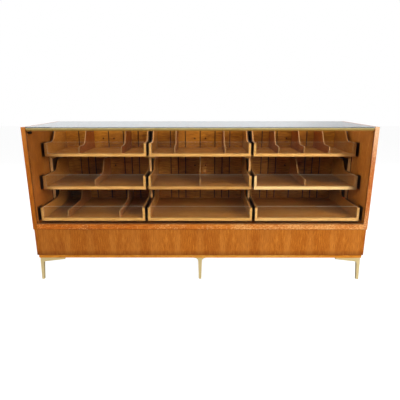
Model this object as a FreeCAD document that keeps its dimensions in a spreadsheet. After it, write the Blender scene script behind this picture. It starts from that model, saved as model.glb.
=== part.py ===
"""A shop counter display cabinet: a glazed oak case with nine stepped drawers on metal legs.

The frame: +X runs along the cabinet, the glass front faces -Y, the drawers pull out to +Y,
and +Z is up. The origin is on the floor, at the middle of the whole cabinet with its handles.
"""
import FreeCAD, Part
import math
import os
from types import SimpleNamespace

import Sketcher

# Every size is in millimetres, and the one angle is in degrees.
SIZES = {
    # The case.
    "cabinet_width": 1830,
    "cabinet_depth": 498,
    "cabinet_height": 858,
    "end_panel_thickness": 22,
    "base_board_thickness": 22,
    "front_rail_height": 32,
    "front_rail_depth": 22,
    "top_rail_height": 14,
    "top_rail_depth": 30,
    "side_post_thickness": 20,
    "side_post_setback": 256,
    "upright_thickness": 12,
    "upright_setback": 252,
    # The glass and its brass edge.
    "glass_top_thickness": 6,
    "glass_front_thickness": 6,
    "glass_end_clearance": 0.5,
    "glass_groove_depth": 6,
    "glass_groove_clearance": 0.2,
    "brass_setback": 6,
    "brass_height": 14,
    "brass_ledge": 20,
    "brass_thickness": 1.6,
    "brass_corner_radius": 3,
    # The plinth and the board under it.
    "plinth_height": 152,
    "plinth_front_inset": 3,
    "plinth_side_inset": 3.5,
    "plinth_board_thickness": 18,
    "plinth_side_thickness": 12,
    "sub_base_thickness": 20,
    "sub_base_front_inset": 12,
    "sub_base_side_inset": 8,
    # The drawer runners.
    "runner_height": 20,
    "runner_width": 20,
    "runner_setback": 235,
    "runner_clearance": 0.3,
    "runner_stop_gap": 0.5,
    "lower_row_step": 161,
    "upper_row_step": 174,
    "top_row_step": 176,
    # The drawers.
    "bottom_drawer_setback": 23,
    "middle_drawer_setback": 93,
    "top_drawer_setback": 156,
    "drawer_side_clearance": 2,
    "drawer_side_thickness": 13,
    "bottom_head_room": 4.7,
    "middle_head_room": 17.7,
    "top_head_room": 19.7,
    "rise_height": 60,
    "rise_from_back": 245,
    "rise_radius": 40,
    "rise_angle": 58,
    "drawer_rail_height": 18,
    "drawer_rail_depth": 18,
    "drawer_floor_height": 6,
    "drawer_floor_thickness": 6,
    "lip_setback": 8,
    "lip_thickness": 4,
    "lip_stand": 6,
    "lip_groove_depth": 6,
    "lip_groove_clearance": 0.2,
    "lip_end_clearance": 0.5,
    "back_thickness": 20,
    "back_gap": 4,
    "back_groove_width": 6.6,
    "back_groove_depth": 5,
    "divider_thickness": 6,
    "divider_end_gap": 1,
    # The cup handles and their screws.
    "cup_width": 86,
    "cup_height": 32,
    "cup_depth": 22,
    "cup_wall": 1.8,
    "cup_corner_radius": 8,
    "cup_boss_radius": 4.5,
    "handle_screw_height": 70,
    "handle_screw_spacing": 68,
    "handle_screw_radius": 2,
    "handle_screw_bite": 12,
    "handle_head_radius": 3.5,
    "handle_head_height": 1.5,
    "screw_hole_clearance": 0.2,
    # The legs and their screws.
    "leg_height": 133,
    "leg_edge_inset": 4,
    "leg_stem_top": 19,
    "leg_stem_foot": 13,
    "leg_splay": 2.5,
    "leg_arm_length": 138,
    "leg_arm_width": 12,
    "leg_arm_root_depth": 24,
    "leg_arm_tip_depth": 11,
    "leg_arm_fillet": 12,
    "leg_plate_thickness": 3,
    "leg_plate_reach": 96,
    "leg_screw_inset": 30,
    "leg_screw_gap": 6,
    "centre_stem_top": 21,
    "centre_stem_foot": 14.5,
    "centre_stem_depth": 20,
    "centre_flare_width": 68,
    "centre_flare_radius": 22,
    "centre_plate_depth": 74,
    "leg_screw_radius": 2,
    "leg_screw_bite": 14,
    "leg_head_radius": 4,
    "leg_head_height": 1.6,
}

# One quarter turn, in degrees.
QUARTER_TURN = 90

# How high a divider's front stands, as a share of the height from the floor to the low side.
divider_low_share = 43 / 64

# Where the dividers can stand, as shares of a drawer's width from its middle.
SLOT_SHARES = (-1 / 3, -1 / 4, -1 / 6, 0, 1 / 6, 1 / 4, 1 / 3)

# The dividers that each drawer holds, as shares of its width from its middle.
DIVIDER_SHARES = {
    "top_left": (-1 / 6, 1 / 4),
    "top_centre": (-1 / 4, 1 / 4),
    "top_right": (-1 / 4, 0, 1 / 4),
    "middle_left": (0,),
    "middle_centre": (0,),
    "middle_right": (0,),
    "bottom_left": (-1 / 4, 1 / 4),
    "bottom_centre": (),
    "bottom_right": (),
}

doc = FreeCAD.newDocument("display_cabinet")
sheet = doc.addObject("Spreadsheet::Sheet", "sizes")
for line, (word, number) in enumerate(SIZES.items(), start=1):
    sheet.set(f"A{line}", word)
    sheet.set(f"B{line}", str(number))
    sheet.setAlias(f"B{line}", word)
doc.recompute()


class Size:
    """A length that carries both its number and the sheet formula that gives it."""

    def __init__(self, number, formula):
        self.number = number
        self.formula = formula

    def __add__(self, other):
        other = as_size(other)
        return Size(self.number + other.number, f"({self.formula} + {other.formula})")

    def __sub__(self, other):
        other = as_size(other)
        return Size(self.number - other.number, f"({self.formula} - {other.formula})")

    def __mul__(self, other):
        other = as_size(other)
        return Size(self.number * other.number, f"({self.formula} * {other.formula})")

    def __truediv__(self, other):
        other = as_size(other)
        return Size(self.number / other.number, f"({self.formula} / {other.formula})")

    def __radd__(self, other):
        return as_size(other) + self

    def __rsub__(self, other):
        return as_size(other) - self

    def __rmul__(self, other):
        return as_size(other) * self

    def __neg__(self):
        return Size(-self.number, f"(0 - {self.formula})")


def as_size(value):
    """A plain number as a Size, so that both kinds can be mixed in a sum."""
    return value if isinstance(value, Size) else Size(value, repr(value))


mm = SimpleNamespace(**{word: Size(number, f"sizes.{word}") for word, number in SIZES.items()})
rise_sine = Size(math.sin(math.radians(mm.rise_angle.number)), "sin(sizes.rise_angle * 1 deg)")
rise_cosine = Size(math.cos(math.radians(mm.rise_angle.number)), "cos(sizes.rise_angle * 1 deg)")

# Levels, from the floor up.
sub_base_top = mm.leg_height + mm.sub_base_thickness
case_bottom = sub_base_top + mm.plinth_height
base_top = case_bottom + mm.base_board_thickness
front_rail_top = case_bottom + mm.front_rail_height
glass_underside = mm.cabinet_height - mm.glass_top_thickness
top_rail_bottom = glass_underside - mm.top_rail_height

# Places along the depth.
front_y = -(mm.cabinet_depth + mm.cup_depth) / 2
back_y = front_y + mm.cabinet_depth
glass_front_y = front_y + mm.brass_setback + mm.brass_thickness

# Places along the width.
half_width = mm.cabinet_width / 2
inner_half = half_width - mm.end_panel_thickness
inner_width = 2 * inner_half
column_pitch_room = inner_width - 2 * mm.side_post_thickness - 2 * mm.upright_thickness
drawer_bay = column_pitch_room / 3
drawer_width = drawer_bay - 2 * mm.drawer_side_clearance
column_pitch = drawer_bay + mm.upright_thickness
COLUMNS = {"left": -column_pitch, "centre": as_size(0), "right": column_pitch}

# The rows' steps, stretched alike, fill the height inside the case.
row_steps = mm.lower_row_step + mm.upper_row_step + mm.top_row_step
row_stretch = (top_rail_bottom - base_top) / row_steps
middle_runner = base_top + mm.lower_row_step * row_stretch
top_runner = middle_runner + mm.upper_row_step * row_stretch

# Each row's runner level, the level that its back board rises to, how far back it starts, and
# the room over its drawers.
ROWS = {
    "bottom": (base_top, middle_runner, mm.bottom_drawer_setback, mm.bottom_head_room),
    "middle": (middle_runner, top_runner, mm.middle_drawer_setback, mm.middle_head_room),
    "top": (top_runner, top_rail_bottom, mm.top_drawer_setback, mm.top_head_room),
}

nodes = []


def bind(thing, name, value):
    """Ties one property of a document object to its formula in the sheet."""
    thing.setExpression(name, as_size(value).formula)


def place(thing, x, y, z, quarters=0):
    """Stands a document object at a place, with some quarter turns about the upright axis."""
    turn = FreeCAD.Rotation(FreeCAD.Vector(0, 0, 1), quarters * QUARTER_TURN)
    thing.Placement = FreeCAD.Placement(FreeCAD.Vector(), turn)
    bind(thing, ".Placement.Base.x", x)
    bind(thing, ".Placement.Base.y", y)
    bind(thing, ".Placement.Base.z", z)
    return thing


def board(name, x, y, z, length, depth, height):
    """A squared board whose lowest corner is at x, y, z."""
    item = doc.addObject("Part::Box", name)
    bind(item, "Length", length)
    bind(item, "Width", depth)
    bind(item, "Height", height)
    return place(item, x, y, z)


def rod(name, x, y, z, radius, length, along):
    """A round bar that starts at x, y, z and runs along Y or Z."""
    item = doc.addObject("Part::Cylinder", name)
    bind(item, "Radius", radius)
    bind(item, "Height", length)
    place(item, x, y, z)
    if along == "y":
        item.Placement.Rotation = FreeCAD.Rotation(FreeCAD.Vector(1, 0, 0), -QUARTER_TURN)
    return item


def group(name, items):
    """Separate solids gathered under one name."""
    item = doc.addObject("Part::Compound", name)
    item.Links = items
    return item


def cut(name, base, tools):
    """The base with the tools taken out of it."""
    item = doc.addObject("Part::Cut", name)
    item.Base = base
    item.Tool = group(name + "_cuts", tools)
    return item


def as_node(item, label):
    """Keeps an object as one of the cabinet's own pieces, under its plain name."""
    item.Label = label
    nodes.append(item)
    return item


def new_sketch(body, name, role, offset=None):
    """A sketch on one of the body's own planes, raised off it by the offset."""
    sketch = body.newObject("Sketcher::SketchObject", name)
    plane = next(item for item in body.Origin.OriginFeatures if item.Role == role)
    sketch.AttachmentSupport = [(plane, "")]
    sketch.MapMode = "FlatFace"
    if offset is not None:
        bind(sketch, ".AttachmentOffset.Base.z", offset)
    return sketch


def hold_point(sketch, edge, end, along, value):
    """Fixes one coordinate of an edge's end, measured from the sketch's origin."""
    value = as_size(value)
    kind = "DistanceX" if along == "u" else "DistanceY"
    axis = -2 if along == "u" else -1
    if value.number == 0:
        sketch.addConstraint(Sketcher.Constraint("PointOnObject", edge, end, axis))
        return
    ends = (-1, 1, edge, end) if value.number > 0 else (edge, end, -1, 1)
    held = sketch.addConstraint(Sketcher.Constraint(kind, *ends, abs(value.number)))
    bind(sketch, f"Constraints[{held}]", value if value.number > 0 else -value)


def arc_between(start, end, radius, turns_left):
    """The short arc from start to end. Its ends are swapped where the outline turns right."""
    chord = end - start
    height = math.sqrt(max(radius ** 2 - (chord.Length / 2) ** 2, 0))
    side = FreeCAD.Vector(-chord.y, chord.x, 0).normalize()
    centre = (start + end) * 0.5 + side * (height if turns_left else -height)
    first, last = (start, end) if turns_left else (end, start)
    angles = [math.atan2(point.y - centre.y, point.x - centre.x) for point in (first, last)]
    return Part.ArcOfCircle(Part.Circle(centre, FreeCAD.Vector(0, 0, 1), radius), *angles)


def outline(sketch, corners):
    """A closed outline through corners (u, v), each perhaps with the arc that leaves it.

    A corner's third value is the arc's radius, and its fourth is "left" or "right", the way
    the outline turns along it. All other edges are straight.
    """
    points = [FreeCAD.Vector(as_size(c[0]).number, as_size(c[1]).number, 0) for c in corners]
    joints = []
    for index, corner in enumerate(corners):
        start = points[index]
        end = points[(index + 1) % len(points)]
        if len(corner) == 2:
            edge = sketch.addGeometry(Part.LineSegment(start, end))
            joints.append((edge, 1, 2))
            continue
        turns_left = corner[3] == "left"
        edge = sketch.addGeometry(arc_between(start, end, corner[2].number, turns_left))
        joints.append((edge, 1, 2) if turns_left else (edge, 2, 1))
    for index, (edge, first, _) in enumerate(joints):
        previous, _, last = joints[index - 1]
        sketch.addConstraint(Sketcher.Constraint("Coincident", previous, last, edge, first))
        hold_point(sketch, edge, first, "u", corners[index][0])
        hold_point(sketch, edge, first, "v", corners[index][1])
        if len(corners[index]) > 2:
            radius = corners[index][2]
            held = sketch.addConstraint(Sketcher.Constraint("Radius", edge, radius.number))
            bind(sketch, f"Constraints[{held}]", radius)


def hole_outline(sketch, u, v, radius):
    """A circle in a sketch."""
    centre = FreeCAD.Vector(as_size(u).number, as_size(v).number, 0)
    circle = Part.Circle(centre, FreeCAD.Vector(0, 0, 1), radius.number)
    edge = sketch.addGeometry(circle)
    hold_point(sketch, edge, 3, "u", u)
    hold_point(sketch, edge, 3, "v", v)
    held = sketch.addConstraint(Sketcher.Constraint("Radius", edge, radius.number))
    bind(sketch, f"Constraints[{held}]", radius)


def new_body(name):
    """An empty body, ready for its sketches."""
    return doc.addObject("PartDesign::Body", name)


def pad(body, sketch, length, reverse=False, middle=False):
    """Thickens a sketch into the body."""
    feature = body.newObject("PartDesign::Pad", sketch.Name + "_pad")
    feature.Profile = sketch
    bind(feature, "Length", length)
    feature.Reversed = reverse
    if middle:
        feature.SideType = "Symmetric"
    sketch.Visibility = False
    return feature


def pocket(body, sketch, length, reverse=False):
    """Cuts a sketch out of the body, and makes sure that it took something away."""
    doc.recompute()
    before = body.Shape.Volume
    feature = body.newObject("PartDesign::Pocket", sketch.Name + "_pocket")
    feature.Profile = sketch
    bind(feature, "Length", length)
    feature.Reversed = reverse
    doc.recompute()
    if body.Shape.Volume >= before:
        raise ValueError(f"{feature.Name} cuts nothing")
    return feature


def stepped_board(name, thickness, length, low, high, rise_start, x, y, z):
    """A board that is low at the front and sweeps up in an S to its full height."""
    bend = mm.rise_radius * rise_sine
    lift = mm.rise_radius * (1 - rise_cosine)
    run = (high - low - 2 * lift) * rise_cosine / rise_sine
    corners = [
        (0, 0),
        (length, 0),
        (length, high),
        (rise_start + 2 * bend + run, high, mm.rise_radius, "left"),
        (rise_start + bend + run, high - lift),
        (rise_start + bend, low + lift, mm.rise_radius, "right"),
        (rise_start, low),
        (0, low),
    ]
    body = new_body(name)
    sketch = new_sketch(body, name + "_side_view", "YZ_Plane")
    outline(sketch, corners)
    pad(body, sketch, thickness)
    return place(body, x, y, z)


def make_case():
    """The end panels, base, rails, uprights and posts."""
    panel_height = mm.cabinet_height - case_bottom
    for side, x in (("left", -half_width), ("right", inner_half)):
        size = (mm.end_panel_thickness, mm.cabinet_depth, panel_height)
        name = f"end_panel_{side}"
        as_node(board(name, x, front_y, case_bottom, *size), name)

    base_y = front_y + mm.front_rail_depth
    base_depth = mm.cabinet_depth - mm.front_rail_depth
    base_size = (inner_width, base_depth, mm.base_board_thickness)
    base = board("base", -inner_half, base_y, case_bottom, *base_size)
    as_node(base, "base_board")

    rail_size = (inner_width, mm.front_rail_depth, mm.front_rail_height)
    rail = board("rail", -inner_half, front_y, case_bottom, *rail_size)
    groove_width = mm.glass_front_thickness + 2 * mm.glass_groove_clearance
    groove_y = glass_front_y - mm.glass_groove_clearance
    groove_z = front_rail_top - mm.glass_groove_depth
    groove_size = (inner_width, groove_width, mm.glass_groove_depth)
    groove = board("rail_groove", -inner_half, groove_y, groove_z, *groove_size)
    as_node(cut("front_rail_cut", rail, [groove]), "front_rail")

    top_size = (inner_width, mm.top_rail_depth, mm.top_rail_height)
    top_y = back_y - mm.top_rail_depth
    as_node(board("top_rail", -inner_half, top_y, top_rail_bottom, *top_size), "rear_top_rail")

    posts = []
    post_depth = mm.cabinet_depth - mm.side_post_setback
    post_y = front_y + mm.side_post_setback
    for side, x in (("left", -inner_half), ("right", inner_half - mm.side_post_thickness)):
        size = (mm.side_post_thickness, post_depth)
        posts.append(standing_board(f"post_{side}", x, post_y, *size))
    as_node(group("post_pair", posts), "side_posts")

    uprights = []
    upright_depth = mm.cabinet_depth - mm.upright_setback
    upright_y = front_y + mm.upright_setback
    for side, middle in (("left", -column_pitch / 2), ("right", column_pitch / 2)):
        x = middle - mm.upright_thickness / 2
        size = (mm.upright_thickness, upright_depth)
        uprights.append(standing_board(f"upright_{side}", x, upright_y, *size))
    as_node(group("upright_pair", uprights), "uprights")


def standing_board(name, x, y, thickness, depth):
    """A board that carries the runners, and rises past the top ones only at the rear rail."""
    full = board(name, x, y, base_top, thickness, depth, top_rail_bottom - base_top)
    step_z = top_runner + mm.runner_height
    step_size = (thickness, depth - mm.top_rail_depth, top_rail_bottom - step_z)
    return cut(name + "_cut", full, [board(name + "_step", x, y, step_z, *step_size)])


def make_runners():
    """Two battens under every drawer, fixed to the post or upright beside it."""
    y = front_y + mm.runner_setback
    depth = mm.cabinet_depth - mm.back_thickness - mm.runner_stop_gap - mm.runner_setback
    battens = []
    for row, (level, *_) in ROWS.items():
        for column, middle in COLUMNS.items():
            left = middle - drawer_bay / 2
            right = middle + drawer_bay / 2 - mm.runner_width
            for side, x in (("left", left), ("right", right)):
                name = f"runner_{row}_{column}_{side}"
                size = (mm.runner_width, depth, mm.runner_height)
                battens.append(board(name, x, y, level, *size))
    as_node(group("runner_set", battens), "drawer_runners")


def make_glass():
    """The glass top and front, and the brass angle along the edge where they meet."""
    clear = mm.glass_end_clearance
    width = inner_width - 2 * clear
    top_y = front_y + mm.brass_setback
    top_size = (width, mm.cabinet_depth - mm.brass_setback, mm.glass_top_thickness)
    top = board("top_pane", -inner_half + clear, top_y, glass_underside, *top_size)
    as_node(top, "glass_top")

    pane_bottom = front_rail_top - mm.glass_groove_depth
    pane_height = glass_underside - mm.brass_corner_radius - pane_bottom
    pane_size = (width, mm.glass_front_thickness, pane_height)
    pane = board("front_pane", -inner_half + clear, glass_front_y, pane_bottom, *pane_size)
    as_node(pane, "glass_front")

    outer = mm.brass_corner_radius
    inner = mm.brass_corner_radius - mm.brass_thickness
    body = new_body("brass_angle")
    sketch = new_sketch(body, "brass_section", "YZ_Plane")
    outline(sketch, [
        (0, -mm.brass_height),
        (mm.brass_thickness, -mm.brass_height),
        (mm.brass_thickness, -outer, inner, "right"),
        (outer, -mm.brass_thickness),
        (mm.brass_ledge, -mm.brass_thickness),
        (mm.brass_ledge, 0),
        (outer, 0, outer, "left"),
        (0, -outer),
    ])
    pad(body, sketch, inner_width)
    place(body, -inner_half, front_y + mm.brass_setback, glass_underside)
    as_node(body, "brass_edge_strip")


def make_plinth():
    """The plinth's veneered front, its side and rear boards, and the board below it."""
    x = -half_width + mm.plinth_side_inset
    y = front_y + mm.plinth_front_inset
    outer_width = mm.cabinet_width - 2 * mm.plinth_side_inset
    depth = mm.cabinet_depth - 2 * mm.plinth_front_inset
    front_x = x + mm.plinth_side_thickness
    front_width = outer_width - 2 * mm.plinth_side_thickness
    front_size = (front_width, mm.plinth_board_thickness, mm.plinth_height)
    as_node(board("plinth_face", front_x, y, sub_base_top, *front_size), "plinth_front")

    side_size = (mm.plinth_side_thickness, depth, mm.plinth_height)
    right_x = x + outer_width - mm.plinth_side_thickness
    rear_y = y + depth - mm.plinth_board_thickness
    frame = [
        board("plinth_left", x, y, sub_base_top, *side_size),
        board("plinth_right", right_x, y, sub_base_top, *side_size),
        board("plinth_rear", front_x, rear_y, sub_base_top, *front_size),
    ]
    as_node(group("plinth_boards", frame), "plinth_frame")


def leg_places():
    """Each corner leg's outer corner, each centre leg's place, and their quarter turns."""
    reach_x = half_width - mm.sub_base_side_inset - mm.leg_edge_inset
    near_y = front_y + mm.sub_base_front_inset + mm.leg_edge_inset
    far_y = back_y - mm.sub_base_front_inset - mm.leg_edge_inset
    corners = [
        ("front_left", -reach_x, near_y, 0),
        ("front_right", reach_x, near_y, 1),
        ("rear_right", reach_x, far_y, 2),
        ("rear_left", -reach_x, far_y, 3),
    ]
    centres = [("front", near_y, 0), ("rear", far_y, 2)]
    return corners, centres


def turned(u, v, quarters):
    """A place in a leg's own frame, turned by some quarter turns into the cabinet's."""
    for _ in range(quarters):
        u, v = -v, u
    return u, v


def make_corner_leg(name, x, y, quarters):
    """A stem that tapers and splays, an arm along each side of the corner and a screw plate."""
    body = new_body(name)
    stem_sketches = []
    top = (0, as_size(0), mm.leg_stem_top)
    inner_foot = mm.leg_stem_foot - mm.leg_splay
    foot = (-mm.leg_height, -mm.leg_splay, inner_foot)
    for level, near, far in (top, foot):
        sketch = new_sketch(body, f"{name}_section_{len(stem_sketches)}", "XY_Plane", level)
        outline(sketch, [(near, near), (far, near), (far, far), (near, far)])
        stem_sketches.append(sketch)
    stem = body.newObject("PartDesign::AdditiveLoft", name + "_stem")
    stem.Profile = stem_sketches[0]
    stem.Sections = [stem_sketches[1]]
    stem.Ruled = True

    low = mm.leg_arm_root_depth + mm.leg_arm_fillet
    taper = (mm.leg_stem_top - inner_foot) / mm.leg_height
    stem_face = mm.leg_stem_top - taper * low
    corners = [
        (0, -low),
        (stem_face, -low, mm.leg_arm_fillet, "right"),
        (stem_face + mm.leg_arm_fillet, -mm.leg_arm_root_depth),
        (mm.leg_arm_length, -mm.leg_arm_tip_depth),
        (mm.leg_arm_length, 0),
        (0, 0),
    ]
    for role, reverse in (("XZ_Plane", True), ("YZ_Plane", False)):
        sketch = new_sketch(body, f"{name}_arm_{role[:2]}", role)
        outline(sketch, corners)
        pad(body, sketch, mm.leg_arm_width, reverse)

    reach = mm.leg_plate_reach
    plate = new_sketch(body, name + "_plate", "XY_Plane")
    outline(plate, [
        (0, 0),
        (reach, 0),
        (reach, mm.leg_stem_top),
        (mm.leg_stem_top, reach),
        (0, reach),
    ])
    pad(body, plate, mm.leg_plate_thickness, True)
    holes = new_sketch(body, name + "_holes", "XY_Plane")
    radius = mm.leg_screw_radius + mm.screw_hole_clearance
    for u, v in corner_screws():
        hole_outline(holes, u, v, radius)
    pocket(body, holes, mm.leg_plate_thickness)
    return place(body, x, y, mm.leg_height, quarters)


def corner_screws():
    """The three screw places on a corner leg's plate, from its outer corner."""
    near = mm.leg_screw_inset
    far = mm.leg_plate_reach - near / 2
    beside = mm.leg_arm_width + mm.leg_screw_gap
    return [(near, near), (far, beside), (beside, far)]


def make_centre_leg(name, y, quarters):
    """A narrow stem that flares into a screw plate."""
    body = new_body(name)
    flare = mm.centre_flare_width / 2
    top = mm.centre_stem_top / 2
    foot = mm.centre_stem_foot / 2
    radius = mm.centre_flare_radius
    shoulder = mm.leg_plate_thickness
    sketch = new_sketch(body, name + "_front_view", "XZ_Plane")
    outline(sketch, [
        (-foot, -mm.leg_height),
        (foot, -mm.leg_height),
        (top, -shoulder - radius, radius, "right"),
        (top + radius, -shoulder),
        (flare, -shoulder),
        (flare, 0),
        (-flare, 0),
        (-flare, -shoulder),
        (-top - radius, -shoulder, radius, "right"),
        (-top, -shoulder - radius),
    ])
    pad(body, sketch, mm.centre_stem_depth, True)
    plate = new_sketch(body, name + "_plate", "XY_Plane")
    depth = mm.centre_plate_depth
    outline(plate, [(-flare, 0), (flare, 0), (flare, depth), (-flare, depth)])
    pad(body, plate, mm.leg_plate_thickness, True)
    holes = new_sketch(body, name + "_holes", "XY_Plane")
    radius = mm.leg_screw_radius + mm.screw_hole_clearance
    for u, v in centre_screws():
        hole_outline(holes, u, v, radius)
    pocket(body, holes, mm.leg_plate_thickness)
    return place(body, 0, y, mm.leg_height, quarters)


def centre_screws():
    """The two screw places on a centre leg's plate, behind the stem."""
    side = mm.centre_flare_width / 4
    back = (mm.centre_stem_depth + mm.centre_plate_depth) / 2
    return [(-side, back), (side, back)]


def make_legs_and_sub_base():
    """Four corner legs and two centre legs, screwed to the board under the plinth."""
    corners, centres = leg_places()
    corner_legs = [make_corner_leg("leg_" + name, *spot) for name, *spot in corners]
    as_node(group("corner_leg_set", corner_legs), "corner_legs")
    centre_legs = [make_centre_leg("leg_" + name, *spot) for name, *spot in centres]
    as_node(group("centre_leg_set", centre_legs), "centre_legs")

    screw_places = []
    for _, x, y, quarters in corners:
        screw_places += [(x, y, turned(u, v, quarters)) for u, v in corner_screws()]
    for _, y, quarters in centres:
        screw_places += [(0, y, turned(u, v, quarters)) for u, v in centre_screws()]

    shank_z = mm.leg_height - mm.leg_plate_thickness
    shank = mm.leg_plate_thickness + mm.leg_screw_bite
    screws = []
    pilots = []
    for index, (x, y, (u, v)) in enumerate(screw_places):
        spot = (x + u, y + v)
        head_z = shank_z - mm.leg_head_height
        head_size = (mm.leg_head_radius, mm.leg_head_height)
        head = rod(f"leg_screw_{index}_head", *spot, head_z, *head_size, "z")
        stem = rod(f"leg_screw_{index}_shank", *spot, shank_z, mm.leg_screw_radius, shank, "z")
        screw = doc.addObject("Part::Fuse", f"leg_screw_{index}")
        screw.Base = head
        screw.Tool = stem
        screws.append(screw)
        bite = (mm.leg_screw_radius, mm.leg_screw_bite)
        pilots.append(rod(f"pilot_{index}", *spot, mm.leg_height, *bite, "z"))
    as_node(group("leg_screw_set", screws), "leg_screws")

    x = -half_width + mm.sub_base_side_inset
    y = front_y + mm.sub_base_front_inset
    width = mm.cabinet_width - 2 * mm.sub_base_side_inset
    depth = mm.cabinet_depth - 2 * mm.sub_base_front_inset
    slab = board("slab", x, y, mm.leg_height, width, depth, mm.sub_base_thickness)
    as_node(cut("sub_base_cut", slab, pilots), "sub_base")


def make_cup(name, x, z):
    """A cup handle: a rounded shell, open below and behind, with two bosses for its screws."""
    body = new_body(name)
    lip = mm.cup_height - mm.cup_depth
    section = new_sketch(body, name + "_section", "YZ_Plane")
    outline(section, [
        (0, 0),
        (mm.cup_depth, 0),
        (mm.cup_depth, lip, mm.cup_depth, "left"),
        (0, mm.cup_height),
    ])
    solid = pad(body, section, mm.cup_width, middle=True)
    doc.recompute()

    ends = []
    for index, edge in enumerate(solid.Shape.Edges, start=1):
        middle = edge.CenterOfGravity
        at_end = abs(abs(middle.x) - mm.cup_width.number / 2) < mm.cup_wall.number
        if at_end and middle.y > mm.cup_wall.number and middle.z > mm.cup_wall.number:
            ends.append(f"Edge{index}")
    rounded = body.newObject("PartDesign::Fillet", name + "_rounded")
    rounded.Base = (solid, ends)
    bind(rounded, "Radius", mm.cup_corner_radius)
    doc.recompute()

    open_faces = []
    for index, face in enumerate(rounded.Shape.Faces, start=1):
        box = face.BoundBox
        behind = box.YMax < mm.cup_wall.number
        below = box.ZMax < mm.cup_wall.number
        if behind or below:
            open_faces.append(f"Face{index}")
    shell = body.newObject("PartDesign::Thickness", name + "_shell")
    shell.Base = (rounded, open_faces)
    bind(shell, "Value", mm.cup_wall)
    shell.Reversed = True

    bosses = new_sketch(body, name + "_bosses", "XZ_Plane")
    half = mm.handle_screw_spacing / 2
    for side in (-1, 1):
        hole_outline(bosses, side * half, lip, mm.cup_boss_radius)
    pad(body, bosses, mm.cup_depth - mm.cup_wall / 2, True)
    bores = new_sketch(body, name + "_bores", "XZ_Plane")
    for side in (-1, 1):
        hole_outline(bores, side * half, lip, mm.handle_screw_radius)
    pocket(body, bores, mm.handle_screw_bite)
    return place(body, x, back_y, z)


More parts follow.
